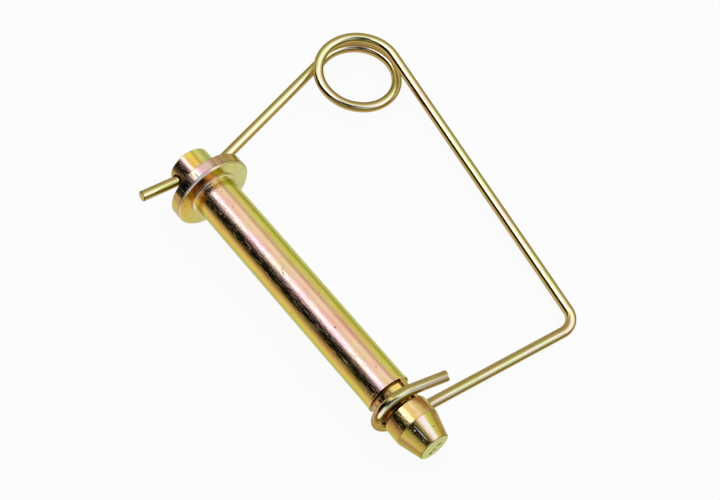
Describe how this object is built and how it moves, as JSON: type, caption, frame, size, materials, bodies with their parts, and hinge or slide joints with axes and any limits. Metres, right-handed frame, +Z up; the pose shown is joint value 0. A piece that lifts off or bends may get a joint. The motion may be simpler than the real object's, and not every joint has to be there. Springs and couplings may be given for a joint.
{
  "type": "hitch pin",
  "caption": "Round steel hitch pin with a collar, a cross-drilled head and a tapered nose, and a captive spring wire clip that hooks into its groove.",
  "frame": {"origin": "centre of the seating face, the low step under the collar, on the pin's axis", "axes": "+X level, towards the nose (the pin's axis dips 2.13 degrees below it, as it lies); +Y towards the coil; +Z up"},
  "size_m": [0.1549, 0.1158, 0.0297],
  "materials": {
    "plated_pin": "steel with yellow chromate zinc plating, smooth, with green and pink iridescence",
    "plated_wire": "drawn spring wire with yellow chromate zinc plating"
  },
  "bodies": {
    "pin": {"pin_body": "plated_pin"},
    "clip": {"wire_clip": "plated_wire"}
  },
  "joints": [
    {"name": "clip_swing", "type": "hinge", "parent": "pin", "child": "clip", "pos_m": [-0.01179, 0, 0.00044], "axis": [0.0058, -0.9877, 0.1563], "range_deg": [0, 180]}
  ]
}
